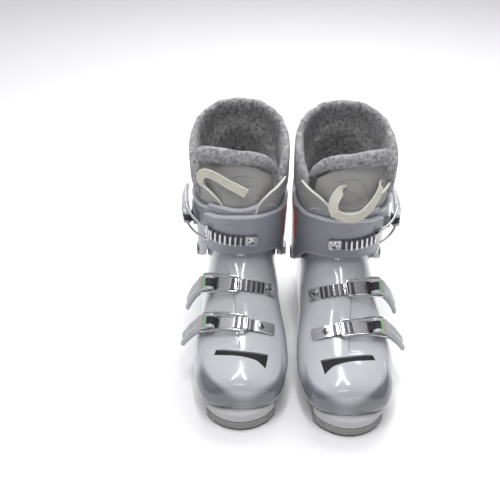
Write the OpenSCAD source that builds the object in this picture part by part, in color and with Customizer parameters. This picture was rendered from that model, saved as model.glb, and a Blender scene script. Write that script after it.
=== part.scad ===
// Pair of alpine ski boots, toes towards -Y, standing on the floor at Z = 0.
// One boot is described about its own centre plane: -X is its outer side, +X its inner side.

/* [Pair] */
// Distance between the centre planes of the two boots
pair_gap = 107; // [106.5:0.5:130]
// How far the left boot stands ahead of the right one
stagger = 8; // [0:1:20]

/* [Sole] */
// Length of the sole, from lug to lug
sole_len = 275; // [270:1:280]
// Width of the toe and heel lugs
lug_w = 69; // [68:0.5:70]
// Height of the toe lug
toe_lug_h = 19; // [18:0.5:20]
// Height of the heel lug
heel_lug_h = 30; // [29:0.5:31]
// Thickness of the replaceable sole pads
pad_t = 10; // [8:0.5:11]

/* [Shell] */
// Wall of the lower shell
shell_wall = 4; // [3.5:0.1:4.4]
// Wall of the cuff
cuff_wall = 3.2; // [2.6:0.1:3.2]
// Step between the inner and the outer cuff flap
flap_step = 3.4; // [3.4:0.1:3.6]

/* [Cuff pivot] */
// Distance of the pivot behind the middle of the sole
pivot_y = 46; // [44:1:48]
// Height of the pivot above the floor
pivot_z = 93; // [91:1:95]
// Radius of the pivot rivet
rivet_r = 5; // [4:0.1:5.5]

/* [Buckles] */
// Width of the ladders
ladder_w = 12; // [10:0.5:13]
// Width of the levers
lever_w = 15; // [14:0.5:16]
// Radius of the bail wire
wire_r = 1.3; // [1.1:0.1:1.5]
// Radius of the lever hinge pins
pin_r = 2; // [1.8:0.1:2.2]

/* [Liner] */
// Wall of the padded liner
liner_wall = 9; // [7:0.5:10]
// Wall of the liner around the foot
sock_wall = 4.5; // [3:0.5:5]

/* [Hidden] */

half_len = sole_len / 2;
run_gap = 0.05;      // radial clearance of a running fit
part_gap = 0.4;      // clearance between neighbouring solids
shell_sides = 40;    // facets round a shell section

shell_colour = [0.86, 0.87, 0.91];
cuff_colour = [0.80, 0.81, 0.87];
pad_colour = [0.62, 0.61, 0.60];
fleece_colour = [0.60, 0.60, 0.61];
vinyl_colour = [0.54, 0.53, 0.52];
metal_colour = [0.75, 0.75, 0.77];
lever_colour = [0.90, 0.90, 0.92];

bush_r = rivet_r + 2.5;
bush_in = 43.2;      // faces of the pivot bushes, from the centre plane
bush_out = 49.6;
hinge_h = 7;         // lever hinge above the arc of its buckle
bail_h = 8;          // bail pivot above the arc
hook_h = 3.4;        // wire above the arc where it holds the ladder
hook_room = 0.5;     // side play of the bail on the lever
lug_w_in = 8;        // lug of the base between the lever's cheeks
tooth_step = 5;
lug_inset = 0.6;     // the shell's lugs stand back from the sole pads

// Sections of the lower shell, fanned from the toe round the heel to the mouth:
// bottom y, bottom z, top y, top z, half width, height share of the widest place,
// roundness of the upper half, roundness of the lower half.
SECTIONS = [
    [-131, 27, -130, 42, 13, 0.5, 2, 2],
    [-130, 21, -127, 50, 27, 0.45, 2, 2.3],
    [-126, 18, -119, 56.5, 37, 0.4, 2, 2.5],
    [-116, 17, -104, 61.5, 44, 0.36, 2.1, 2.7],
    [-99, 17, -88, 66, 48, 0.34, 2.1, 2.8],
    [-75, 17, -66, 75.5, 49, 0.34, 2.05, 2.9],
    [-50, 17, -49, 88, 48, 0.34, 2, 3.1],
    [-22, 17, -34, 101.5, 45, 0.34, 2, 3.4],
    [8, 17, -22, 110, 43, 0.34, 2.1, 4],
    [42, 17, -15, 115.5, 42, 0.35, 2.4, 4],
    [78, 17, -11, 119.5, 41, 0.36, 2.6, 3.8],
    [106, 17.5, -8, 123.5, 40.5, 0.38, 2.6, 3.4],
    [123, 27, -6, 127.5, 40.5, 0.4, 2.6, 3],
    [127, 48, -4.5, 131, 41, 0.42, 2.5, 2.8],
    [124, 72, -3.2, 134.5, 41.5, 0.44, 2.4, 2.6],
    [118, 96, -2.2, 138, 41.5, 0.47, 2.3, 2.4],
    [112, 115, -1.5, 141, 41.5, 0.5, 2.2, 2.3]
];
LAST = len(SECTIONS) - 1;

// Cuff outline against height: outer front, outer back, half width
CUFF_FRONT = [[78, -13], [127, -15], [148, -18.5], [175, -22], [190, -22], [250, -24]];
CUFF_BACK = [[78, 125], [105, 125], [118, 123], [130, 120.5], [190, 105], [250, 90]];
CUFF_HALF = [[78, 48.5], [100, 49], [127, 49.5], [150, 50], [175, 50.5], [250, 51.5]];
// Cuff edges against the angle round the leg, from the front over the outer side
CUFF_TOP = [
    [-52, 176], [-20, 184], [0, 187], [30, 183], [60, 177], [95, 176], [125, 192], [150, 214],
    [180, 222], [210, 214], [235, 192], [265, 170], [300, 171], [335, 175], [360, 176], [406, 172]
];
CUFF_LOW = [
    [0, 127.5], [30, 125], [48, 120], [60, 107], [74, 91], [86, 80], [96, 79], [106, 84],
    [122, 101], [140, 105], [180, 105]
];
CUFF_FROM = -52;     // end of the inner flap
CUFF_TO = 406;       // end of the outer flap
COLLAR_TOP = [
    [42, 203], [58, 219], [90, 231], [130, 248], [180, 257], [230, 248], [270, 231],
    [302, 219], [318, 203]
];

// Buckle seats: y and z of the crown, tilt, turn, arc radius, then angles round the arc:
// ladder's outer end, ladder's inner end, ladder screw, hinge, bail on the lever, bail on the
// ladder; then the lever's length, the radius it is bent to, how deep its base is let in, how
// far the lever leans to the toe at its free end, and where the ladder's teeth start.
TOE_SEAT = [-66.6, 77, 27, -6, 55, -26, 37, 21.5, -29, -40, 7, 40, 90, 1, 13, -7.4];
INSTEP_SEAT = [-34, 101.6, 40, -6, 43.5, -33, 50, 40, -39, -52, -2, 41, 85, 3, 19, -14];
CUFF_SEAT = [-18.6, 147, 96, -4, 50.5, -44, 20, 13, -76, -88, -36, 50, 150, 5, 0, -40.3];

function smooth(t) = let (c = min(max(t, 0), 1)) c * c * (3 - 2 * c);
function signed_pow(v, p) = sign(v) * pow(abs(v), p);
function fold(u) = abs(u > 180 ? u - 360 : u);

// ---- point on a fanned section: a = angle from the top, off = inset, lift = extra floor
function section_point(st, a, off, lift) =
    let (
        low = [st[0], st[1]],
        top = [st[2], st[3]],
        way = (top - low) / norm(top - low),
        b = low + way * (off + lift),
        span = norm(top - way * off - b),
        n = cos(a) >= 0 ? st[6] : st[7],
        rise = cos(a) >= 0
            ? st[5] + (1 - st[5]) * pow(cos(a), 2 / n)
            : st[5] - st[5] * pow(-cos(a), 2 / n),
        p = b + way * span * rise
    )
    [(st[4] - off) * signed_pow(sin(a), 2 / n), p.x, p.y];

function section_ring(i, off, lift, sides) =
    [for (k = [0 : sides - 1]) section_point(SECTIONS[i], 360 * k / sides, off, lift)];

// Closed solid through a run of rings
module ring_solid(rings, sides) {
    n = len(rings);
    points = [for (r = rings) for (p = r) p];
    walls = [
        for (i = [0 : n - 2]) for (k = [0 : sides - 1])
            let (j = (k + 1) % sides, a = i * sides, b = a + sides)
                each [[a + k, b + k, a + j], [a + j, b + k, b + j]]
    ];
    first = [for (k = [1 : sides - 2]) [0, k, k + 1]];
    last = let (s = (n - 1) * sides) [for (k = [1 : sides - 2]) [s, s + k + 1, s + k]];
    polyhedron(points, concat(walls, first, last), convexity = 8);
}

// Cup of the fanned sections, open at the mouth: insets and floor lifts of its two faces
module sock(off_out, off_in, lift_out, lift_in, start, sides) {
    outer = [for (i = [start : LAST]) section_ring(i, off_out, lift_out, sides)];
    inner = [for (i = [LAST : -1 : start + 2]) section_ring(i, off_in, lift_in, sides)];
    ring_solid(concat(outer, inner), sides);
}

module sock_room() {
    ring_solid([for (i = [2 : LAST]) section_ring(i, shell_wall, 0, shell_sides)], shell_sides);
}

// ---- point on the leg sleeve: u = angle from the front over the outer side
function leg_point(u, z, off) =
    let (
        front = lookup(z, CUFF_FRONT),
        back = lookup(z, CUFF_BACK),
        round_p = 2 / 2.25,
        half = lookup(z, CUFF_HALF) - off,
        depth = (back - front) / 2 - off
    )
    [
        -half * signed_pow(sin(u), round_p),
        (front + back) / 2 - depth * signed_pow(cos(u), round_p),
        z
    ];

// Depth of the cuff's outer face below the outer flap, so that the inner flap lies under it
function flap_inset(u) = flap_step * (1 - smooth((u - 50) / 30));

// Closed sheet round part of the leg; its edges and faces are functions of angle and height
module sleeve(us, low, top, out, in, steps) {
    n = len(us);
    row = 2 * (steps + 1);
    points = [
        for (u = us)
            let (zs = [for (v = [0 : steps]) low(u) + (top(u) - low(u)) * v / steps])
                each concat(
                    [for (v = [0 : steps]) leg_point(u, zs[v], out(u, zs[v]))],
                    [for (v = [steps : -1 : 0]) leg_point(u, zs[v], in(u, zs[v]))]
                )
    ];
    skin = [
        for (i = [0 : n - 2]) for (k = [0 : row - 1])
            let (j = (k + 1) % row, a = i * row, b = a + row)
                each [[a + k, b + k, a + j], [a + j, b + k, b + j]]
    ];
    cap_a = [
        for (v = [0 : steps - 1])
            each [[v, v + 1, row - 1 - v], [v + 1, row - 2 - v, row - 1 - v]]
    ];
    e = (n - 1) * row;
    cap_b = [
        for (v = [0 : steps - 1])
            each [[e + v, e + row - 1 - v, e + v + 1], [e + v + 1, e + row - 1 - v, e + row - 2 - v]]
    ];
    polyhedron(points, concat(skin, cap_a, cap_b), convexity = 10);
}

// ---- Lower shell
// crescent across the toe, deeper on the inner side
SLOT = [
    [-24, -88], [-10, -91], [3, -92.8], [16, -93.2], [28, -92.8],
    [25, -107], [20, -103], [15, -100.2], [1, -97], [-15, -94.7], [-26, -91.5]
];

module slot_cutter(grow) {
    translate([0, 0, 44])
        linear_extrude(36)
            offset(delta = grow)
                polygon(SLOT);
}

module pivot_axis(from) {
    for (s = [-1, 1])
        translate([0, pivot_y, pivot_z])
            rotate([0, 90 * s, 0])
                translate([0, 0, from])
                    children();
}

module toe_lug_outline(grow) {
    front_y = -half_len;
    back_y = -half_len + 52;
    bow = 19;
    half = lug_w / 2;
    radius = (half * half + bow * bow) / (2 * bow);
    a = asin(half / radius);
    polygon(concat(
        [for (k = [-8 : 8]) [0, front_y + radius] + (radius + grow) * [sin(a * k / 8), -cos(a * k / 8)]],
        [[half + grow, back_y], [-half - grow, back_y]]
    ));
}

module heel_lug_outline(grow) {
    half = lug_w / 2;
    back_y = half_len;
    corner = 24;
    turn = [for (k = [0 : 6]) (corner + grow) * [cos(15 * k), sin(15 * k)]];
    polygon(concat(
        [[-half - grow, back_y - 72], [half + grow, back_y - 72]],
        [for (p = turn) [half - corner, back_y - corner] + p],
        [for (p = turn) [-half + corner, back_y - corner] + [-p.y, p.x]]
    ));
}

module lower_shell() {
    color(shell_colour)
        resize([0, 0, 0])
            difference() {
                union() {
                    sock(0, shell_wall, 0, 0, 0, shell_sides);
                    translate([0, 0, pad_t])
                        linear_extrude(toe_lug_h - pad_t)
                            toe_lug_outline(-lug_inset);
                    translate([0, 0, pad_t])
                        linear_extrude(heel_lug_h - pad_t)
                            heel_lug_outline(-lug_inset);
                }
                // foot room above the lugs stays open
                sock_room();
                slot_cutter(0);
            }
}

module toe_seal() {
    color("black")
        resize([0, 0, 0])
            intersection() {
                difference() {
                    ring_solid([for (i = [2 : 8]) section_ring(i, 2.2, 0, shell_sides)], shell_sides);
                    ring_solid([for (i = [2 : 8]) section_ring(i, 3.9, 0, shell_sides)], shell_sides);
                }
                slot_cutter(-0.25);
            }
}

// ---- Soles
TOE_SCREWS = [[-22, -half_len + 34], [22, -half_len + 34]];
HEEL_SCREWS = [[-22, half_len - 52], [22, half_len - 52], [0, half_len - 20]];

module screw_seats(places) {
    for (p = places)
        translate([p.x, p.y, -1]) {
            cylinder(h = 4, r = 4.2, $fn = 32);
            cylinder(h = pad_t + 2, r = 2.2, $fn = 32);
        }
}

module toe_sole() {
    color(pad_colour)
        difference() {
            linear_extrude(pad_t)
                toe_lug_outline(0);
            screw_seats(TOE_SCREWS);
        }
}

module heel_sole() {
    color(pad_colour)
        difference() {
            linear_extrude(pad_t)
                heel_lug_outline(0);
            screw_seats(HEEL_SCREWS);
        }
}

module sole_screw() {
    translate([0, 0, 1])
        cylinder(h = 2, r = 4, $fn = 32);
    translate([0, 0, 2])
        cylinder(h = pad_t + 3, r = 2, $fn = 32);
}

module shell_screws() {
    color(metal_colour) {
        for (p = concat(TOE_SCREWS, HEEL_SCREWS))
            translate([p.x, p.y, 0])
                sole_screw();
        ladder_screw(TOE_SEAT);
        ladder_screw(INSTEP_SEAT);
    }
}

// ---- Inner boot
module foot_outline(front, back, ball, heel) {
    polygon(concat(
        [for (k = [0 : 10]) [ball * cos(18 * k), front + ball - ball * sin(18 * k)]],
        [for (k = [0 : 10]) [-heel * cos(18 * k), back - heel + heel * sin(18 * k)]]
    ));
}

module boot_board() {
    color([0.35, 0.35, 0.37])
        translate([0, 0, 21.6])
            linear_extrude(4.6)
                foot_outline(-106, 96, 27, 20);
}

module insole() {
    color([0.3, 0.3, 0.32])
        translate([0, 0, 33.6])
            linear_extrude(3)
                foot_outline(-98, 84, 25, 17);
}

module liner_foot() {
    color(fleece_colour)
        sock(shell_wall + part_gap, shell_wall + part_gap + sock_wall, 6, 6, 2, 28);
}

function collar_face(u, z) =
    let (inside = flap_inset(u) + cuff_wall + part_gap, above = lookup(u, CUFF_TOP))
        inside - (inside + 1) * smooth((z - above - 1) / 18);

module liner_collar() {
    color(fleece_colour)
        sleeve(
            [for (u = [42 : 12 : 318]) u],
            function(u) 150,
            function(u) lookup(u, COLLAR_TOP),
            function(u, z) collar_face(u, z),
            function(u, z) collar_face(u, z) + liner_wall,
            7
        );
}

function tongue_face(z) = flap_step + cuff_wall + 0.7 + 10 * smooth((z - 190) / 50);

module liner_tongue() {
    color(vinyl_colour)
        sleeve(
            [for (u = [-36 : 8 : 36]) u],
            function(u) 150,
            function(u) 232 + 0.22 * u - 9 * pow(u / 36, 2),
            function(u, z) tongue_face(z),
            function(u, z) tongue_face(z) + liner_wall + 5 * smooth((z - 205) / 15),
            8
        );
}

module tongue_strap() {
    color([0.92, 0.91, 0.86])
        sleeve(
            [for (u = [-30 : 6 : 30]) u],
            function(u) 189,
            function(u) 201,
            function(u, z) flap_step + cuff_wall - 1.9,
            function(u, z) flap_step + cuff_wall - 0.1,
            1
        );
}

// ---- Cuff
module cuff() {
    color(cuff_colour)
        resize([0, 0, 0])
            difference() {
                sleeve(
                    [for (k = [0 : 58]) CUFF_FROM + (CUFF_TO - CUFF_FROM) * k / 58],
                    function(u) lookup(fold(u), CUFF_LOW),
                    function(u) lookup(u, CUFF_TOP),
                    function(u, z) flap_inset(u),
                    function(u, z) flap_inset(u) + cuff_wall,
                    6
                );
                pivot_axis(30)
                    cylinder(h = 25, r = bush_r, $fn = 32);
            }
}

module pivot_bushes() {
    color(metal_colour)
        pivot_axis(bush_in)
            difference() {
                cylinder(h = bush_out - bush_in, r = bush_r, $fn = 48);
                translate([0, 0, -1])
                    cylinder(h = bush_out - bush_in + 2, r = rivet_r + run_gap, $fn = 48);
            }
}

module pivot_rivets() {
    head_from = bush_out + 0.3;
    rivet_from = 38;
    color(metal_colour)
        pivot_axis(rivet_from) {
            cylinder(h = head_from - rivet_from + 0.5, r = rivet_r, $fn = 48);
            translate([0, 0, head_from - rivet_from])
                cylinder(h = 1.6, r = rivet_r + 3, $fn = 48);
        }
}

module cuff_patch() {
    color([0.85, 0.25, 0.12])
        sleeve(
            [262, 268, 274, 280, 286],
            function(u) 124 + (286 - u) * 1.1,
            function(u) 151 + (286 - u) * 0.55,
            function(u, z) -0.8,
            function(u, z) 0.6,
            2
        );
}

// ---- Buckles, drawn about the centre of an arc that follows the shell
function seat_radius(seat) = seat[4];
function polar(angle, r) = [r * sin(angle), r * cos(angle)];

module at_seat(seat) {
    translate([0, seat[0], seat[1]])
        rotate([90 + seat[2], 0, 0])
            rotate([0, seat[3], 0])
                translate([0, -seat_radius(seat), 0])
                    children();
}

module radial(seat, angle, h) {
    at_seat(seat)
        rotate([0, 0, -angle])
            translate([0, seat_radius(seat) + h, 0])
                rotate([-90, 0, 0])
                    children();
}

module arc_band(from, to, r_in, r_out) {
    steps = max(2, ceil(abs(to - from) / 6));
    polygon(concat(
        [for (k = [0 : steps]) polar(from + (to - from) * k / steps, r_in)],
        [for (k = [steps : -1 : 0]) polar(from + (to - from) * k / steps, r_out)]
    ));
}

module ladder(seat) {
    r = seat_radius(seat);
    step = tooth_step / r * 180 / PI;
    first = seat[15];
    count = floor((seat[7] - first) / step - 0.9);
    color(metal_colour)
        difference() {
            at_seat(seat)
                linear_extrude(ladder_w, center = true) {
                    arc_band(seat[5], seat[6], r + 0.1, r + 1.7);
                    for (k = [0 : count - 1])
                        polygon([
                            polar(first + step * k, r + 1.2),
                            polar(first + step * (k + 0.12), r + 4.1),
                            polar(first + step * (k + 0.34), r + 4.1),
                            polar(first + step * (k + 0.46), r + 1.2)
                        ]);
                }
            radial(seat, seat[7], -2)
                cylinder(h = 8, r = 2.2, $fn = 32);
        }
}

module ladder_screw(seat) {
    radial(seat, seat[7], -2.5)
        cylinder(h = 4.6, r = 2, $fn = 32);
    radial(seat, seat[7], 2)
        cylinder(h = 1.8, r = 3.8, $fn = 32);
}

module hinge_place(seat) {
    r = seat_radius(seat);
    p = polar(seat[8], r + hinge_h);
    translate([p.x, p.y, 0])
        children();
}

module buckle_base(seat) {
    r = seat_radius(seat);
    color(metal_colour)
        at_seat(seat)
            difference() {
                union() {
                    linear_extrude(lever_w - 1, center = true)
                        arc_band(seat[8] + 8, seat[8] - 24, r - seat[13], r + 1.8);
                    linear_extrude(lug_w_in, center = true)
                        polygon([
                            polar(seat[8] + 6, r + 1), polar(seat[8] + 4.5, r + hinge_h),
                            polar(seat[8] - 4.5, r + hinge_h), polar(seat[8] - 6, r + 1)
                        ]);
                    hinge_place(seat)
                        cylinder(h = lug_w_in, r = 3.8, center = true, $fn = 32);
                }
                hinge_place(seat)
                    cylinder(h = lug_w_in + 8, r = pin_r, center = true, $fn = 32);
            }
}

module hinge_pin(seat) {
    color(metal_colour)
        at_seat(seat)
            hinge_place(seat)
                cylinder(h = lever_w - 0.4, r = pin_r, center = true, $fn = 32);
}

// Body of a lever: a band bent to its own radius, starting at the hinge, leaning to the toe
// and narrowing towards its free end
module lever_band(seat) {
    bend = seat[12];
    sweep = seat[11] / bend * 180 / PI;
    centre = polar(seat[8], seat_radius(seat) + hinge_h) - polar(seat[8], bend);
    rings = [
        for (f = [0 : 0.1 : 1])
            let (
                angle = seat[8] - 1 - (sweep - 1) * f,
                lean = seat[14] * pow(max(0, f - 0.35) / 0.65, 1.4),
                w = lever_w / 2 * (1 - 0.25 * smooth((f - 0.5) / 0.5)),
                inner = centre + polar(angle, bend - 3.7),
                outer = centre + polar(angle, bend + 4.2)
            )
                [
                    [inner.x, inner.y, lean - w], [inner.x, inner.y, lean + w],
                    [outer.x, outer.y, lean + w], [outer.x, outer.y, lean - w]
                ]
    ];
    ring_solid(rings, 4);
}

module lever(seat) {
    r = seat_radius(seat);
    bail_at = polar(seat[9], r + bail_h);
    color(lever_colour)
        at_seat(seat)
            difference() {
                union() {
                    hinge_place(seat)
                        cylinder(h = lever_w, r = 4.4, center = true, $fn = 32);
                    lever_band(seat);
                }
                hinge_place(seat)
                    cylinder(h = lug_w_in + 0.8, r = 8.6, center = true, $fn = 48);
                hinge_place(seat)
                    cylinder(h = lever_w + 2, r = pin_r + run_gap, center = true, $fn = 32);
                for (s = [-1, 1])
                    translate([bail_at.x, bail_at.y, s * (lever_w / 2 + 1)])
                        cylinder(h = 8.4, r = wire_r + run_gap, center = true, $fn = 32);
            }
}

bail_half = lever_w / 2 + wire_r + hook_room;
wire_corner = 1.6;

// Ring of a swept wire at point p, running along t, with n across it
function wire_ring(p, t, n) =
    [for (k = [0 : 7]) p + wire_r * (cos(45 * k) * n + sin(45 * k) * cross(t, n))];

// One side of a bail as rings: a stub into the lever, a round corner, the arm along the arc,
// a round corner and half of the cross wire. s = -1 or 1 picks the side.
function bail_side(centre, bend, a, sweep, s) =
    let (
        corner = wire_corner,
        turn = corner / bend * 180 / PI,
        flat = function(angle, z, tz, along) let (
            n = [cos(angle), sin(angle), 0],
            q = [-sin(angle), cos(angle), 0]
        ) wire_ring([centre.x, centre.y, z] + bend * n, [0, 0, tz] - along * q, n)
    )
    concat(
        [flat(a, s * 4.6, s, 0), flat(a, s * (bail_half - corner), s, 0)],
        [flat(a - 0.3 * turn, s * (bail_half - 0.3 * corner), 0.7 * s, 0.7)],
        [for (k = [0 : 9]) flat(a - turn - (sweep - 2 * turn) * k / 9, s * bail_half, 0, 1)],
        [flat(a - sweep + 0.3 * turn, s * (bail_half - 0.3 * corner), -0.7 * s, 0.7)],
        [flat(a - sweep, s * (bail_half - corner), -s, 0)]
    );

module bail(seat) {
    r = seat_radius(seat);
    a = polar(seat[9], r + bail_h);
    f = polar(seat[10], r + hook_h);
    half = norm(f - a) / 2;
    bend = r + 6;
    side = [-(f - a).y, (f - a).x] / (2 * half);
    centre = (a + f) / 2 - side * sqrt(bend * bend - half * half);
    start = atan2((a - centre).y, (a - centre).x);
    sweep = 2 * asin(half / bend);
    near = bail_side(centre, bend, start, sweep, -1);
    far = bail_side(centre, bend, start, sweep, 1);
    // the second side runs back from the cross wire, so its rings turn round with it
    back = [for (i = [len(far) - 1 : -1 : 0]) [for (k = [0 : 7]) far[i][(8 - k) % 8]]];
    color(metal_colour)
        at_seat(seat)
            ring_solid(concat(near, back), 8);
}

// ---- Where each boot stands
module right_boot() {
    translate([-pair_gap / 2, stagger / 2, 0])
        children();
}

module left_boot() {
    translate([pair_gap / 2, -stagger / 2, 0])
        mirror([1, 0, 0])
            children();
}

module cuff_screw() {
    color(metal_colour)
        ladder_screw(CUFF_SEAT);
}

module shell_hinge_pins() {
    hinge_pin(TOE_SEAT);
    hinge_pin(INSTEP_SEAT);
}

right_boot() lower_shell();  // right_lower_shell
right_boot() toe_seal();  // right_toe_seal
right_boot() toe_sole();  // right_toe_sole
right_boot() heel_sole();  // right_heel_sole
right_boot() shell_screws();  // right_shell_screws
right_boot() boot_board();  // right_boot_board
right_boot() insole();  // right_insole
right_boot() liner_foot();  // right_liner_foot
right_boot() liner_collar();  // right_liner_collar
right_boot() liner_tongue();  // right_liner_tongue
right_boot() tongue_strap();  // right_tongue_strap
right_boot() cuff();  // right_cuff
right_boot() cuff_patch();  // right_cuff_patch
right_boot() pivot_rivets();  // right_pivot_rivets
right_boot() pivot_bushes();  // right_pivot_bushes
right_boot() ladder(TOE_SEAT);  // right_toe_ladder
right_boot() ladder(INSTEP_SEAT);  // right_instep_ladder
right_boot() ladder(CUFF_SEAT);  // right_cuff_ladder
right_boot() cuff_screw();  // right_cuff_screw
right_boot() buckle_base(TOE_SEAT);  // right_toe_buckle_base
right_boot() buckle_base(INSTEP_SEAT);  // right_instep_buckle_base
right_boot() buckle_base(CUFF_SEAT);  // right_cuff_buckle_base
right_boot() lever(TOE_SEAT);  // right_toe_lever
right_boot() lever(INSTEP_SEAT);  // right_instep_lever
right_boot() lever(CUFF_SEAT);  // right_cuff_lever
right_boot() bail(TOE_SEAT);  // right_toe_bail
right_boot() bail(INSTEP_SEAT);  // right_instep_bail
right_boot() bail(CUFF_SEAT);  // right_cuff_bail
right_boot() shell_hinge_pins();  // right_shell_hinge_pins
right_boot() hinge_pin(CUFF_SEAT);  // right_cuff_hinge_pin
left_boot() lower_shell();  // left_lower_shell
left_boot() toe_seal();  // left_toe_seal
left_boot() toe_sole();  // left_toe_sole
left_boot() heel_sole();  // left_heel_sole
left_boot() shell_screws();  // left_shell_screws
left_boot() boot_board();  // left_boot_board
left_boot() insole();  // left_insole
left_boot() liner_foot();  // left_liner_foot
left_boot() liner_collar();  // left_liner_collar
left_boot() liner_tongue();  // left_liner_tongue
left_boot() tongue_strap();  // left_tongue_strap
left_boot() cuff();  // left_cuff
left_boot() cuff_patch();  // left_cuff_patch
left_boot() pivot_rivets();  // left_pivot_rivets
left_boot() pivot_bushes();  // left_pivot_bushes
left_boot() ladder(TOE_SEAT);  // left_toe_ladder
left_boot() ladder(INSTEP_SEAT);  // left_instep_ladder
left_boot() ladder(CUFF_SEAT);  // left_cuff_ladder
left_boot() cuff_screw();  // left_cuff_screw
left_boot() buckle_base(TOE_SEAT);  // left_toe_buckle_base
left_boot() buckle_base(INSTEP_SEAT);  // left_instep_buckle_base
left_boot() buckle_base(CUFF_SEAT);  // left_cuff_buckle_base
left_boot() lever(TOE_SEAT);  // left_toe_lever
left_boot() lever(INSTEP_SEAT);  // left_instep_lever
left_boot() lever(CUFF_SEAT);  // left_cuff_lever
left_boot() bail(TOE_SEAT);  // left_toe_bail
left_boot() bail(INSTEP_SEAT);  // left_instep_bail
left_boot() bail(CUFF_SEAT);  // left_cuff_bail
left_boot() shell_hinge_pins();  // left_shell_hinge_pins
left_boot() hinge_pin(CUFF_SEAT);  // left_cuff_hinge_pin
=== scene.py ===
import math
import random

import bpy
import bmesh
from mathutils import Vector, Matrix, noise


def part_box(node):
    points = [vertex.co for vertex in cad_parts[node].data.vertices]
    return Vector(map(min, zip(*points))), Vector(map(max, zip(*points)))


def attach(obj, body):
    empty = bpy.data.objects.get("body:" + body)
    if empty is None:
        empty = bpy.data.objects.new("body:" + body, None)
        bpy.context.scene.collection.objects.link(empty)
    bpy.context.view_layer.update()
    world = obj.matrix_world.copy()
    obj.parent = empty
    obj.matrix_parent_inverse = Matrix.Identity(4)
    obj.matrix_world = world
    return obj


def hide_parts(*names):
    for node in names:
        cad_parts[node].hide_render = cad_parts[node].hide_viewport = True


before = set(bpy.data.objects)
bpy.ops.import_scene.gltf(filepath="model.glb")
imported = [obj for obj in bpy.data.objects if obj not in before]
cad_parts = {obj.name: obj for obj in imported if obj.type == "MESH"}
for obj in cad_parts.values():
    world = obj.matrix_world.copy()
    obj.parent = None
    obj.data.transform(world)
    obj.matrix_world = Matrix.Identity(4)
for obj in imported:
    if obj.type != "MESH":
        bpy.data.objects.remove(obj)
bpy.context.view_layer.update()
random.seed(7)

mm = 0.001
sideNames = ("right", "left")


def shellMiddle(side):
    low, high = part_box(side + "_lower_shell")
    return (low[0] + high[0]) / 2, (low[1] + high[1]) / 2


middles = {side: shellMiddle(side) for side in sideNames}
flips = {"right": 1, "left": -1}  # the left boot is the mirror image of the right one


# the camera stands before the toes, a little above the collars
cameraSet = {
    "target": (-0.0415, -0.015, 0.135), "distance": 0.60, "elevation": 35.0, "lens": 42.2, "roll": 0.3,
}


def makeCamera(s):
    data = bpy.data.cameras.new("camera")
    data.lens = s["lens"]
    data.clip_start = 0.02
    cam = bpy.data.objects.new("camera", data)
    bpy.context.scene.collection.objects.link(cam)
    e = math.radians(s["elevation"])
    forward = Vector((0, math.cos(e), -math.sin(e)))
    cam.location = Vector(s["target"]) - forward * s["distance"]
    cam.rotation_euler = (math.radians(90) - e, math.radians(s["roll"]), 0)
    bpy.context.scene.camera = cam
    return cam


makeCamera(cameraSet)
print("camera placed")


def smooth(t):
    c = min(max(t, 0.0), 1.0)
    return c * c * (3 - 2 * c)


def signedPow(v, p):
    return math.copysign(abs(v) ** p, v)


def lookUp(x, table):
    # smooth value between table rows, held at the ends
    if x <= table[0][0]:
        return table[0][1]
    for (x0, y0), (x1, y1) in zip(table, table[1:]):
        if x <= x1:
            return y0 + (y1 - y0) * smooth((x - x0) / (x1 - x0))
    return table[-1][1]


def lineUp(x, table):
    # straight value between table rows
    if x <= table[0][0]:
        return table[0][1]
    for (x0, y0), (x1, y1) in zip(table, table[1:]):
        if x <= x1:
            return y0 + (y1 - y0) * (x - x0) / (x1 - x0)
    return table[-1][1]


def catmull(rows, t):
    i = min(int(t), len(rows) - 2)
    f = t - i
    p = [rows[max(0, min(len(rows) - 1, i + k))] for k in (-1, 0, 1, 2)]
    out = []
    for a, b, c, d in zip(*p):
        curve = (2 * a - 5 * b + 4 * c - d) * f * f + (3 * b - a - 3 * c + d) * f ** 3
        out.append(0.5 * (2 * b + (c - a) * f + curve))
    return out


def smoothPath(points, count):
    last = len(points) - 1
    return [Vector(catmull(points, last * k / (count - 1))) for k in range(count)]


# shapes are lists of points and faces in the right boot's own millimetres, -x being its outer side
def toFrame(side, p):
    cx, cy = middles[side]
    return (cx + flips[side] * p[0] * mm, cy + p[1] * mm, p[2] * mm)


def makeObject(name, verts, faces, mats, faceMats=None, sharp=38):
    mesh = bpy.data.meshes.new(name)
    mesh.from_pydata([tuple(v) for v in verts], [], faces)
    for m in mats:
        mesh.materials.append(m)
    if faceMats:
        mesh.polygons.foreach_set("material_index", faceMats)
    mesh.polygons.foreach_set("use_smooth", [True] * len(mesh.polygons))
    mesh.validate()
    b = bmesh.new()
    b.from_mesh(mesh)
    bmesh.ops.recalc_face_normals(b, faces=b.faces)
    b.to_mesh(mesh)
    b.free()
    mesh.set_sharp_from_angle(angle=math.radians(sharp))
    obj = bpy.data.objects.new(name, mesh)
    bpy.context.scene.collection.objects.link(obj)
    return obj


def onBoot(side, name, verts, faces, mats, body, slot, stands=(), faceMats=None, sharp=38, bevel=0):
    ownName = side + name[0].upper() + name[1:]
    obj = makeObject(ownName, [toFrame(side, v) for v in verts], faces, mats, faceMats, sharp)
    if bevel:
        b = obj.modifiers.new("bevel", "BEVEL")
        b.width = bevel * mm
        b.segments = 2
        b.limit_method = "ANGLE"
        b.angle_limit = math.radians(35)
    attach(obj, side + "_" + body)
    if stands:
        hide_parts(*[side + "_" + n for n in stands])
    return obj


def onBothBoots(name, shape, mats, body, slot, stands=(), **more):
    verts, faces = shape[0], shape[1]
    if len(shape) > 2:
        more["faceMats"] = shape[2]
    return [onBoot(side, name, verts, faces, mats, body, slot, stands, **more) for side in sideNames]


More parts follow.
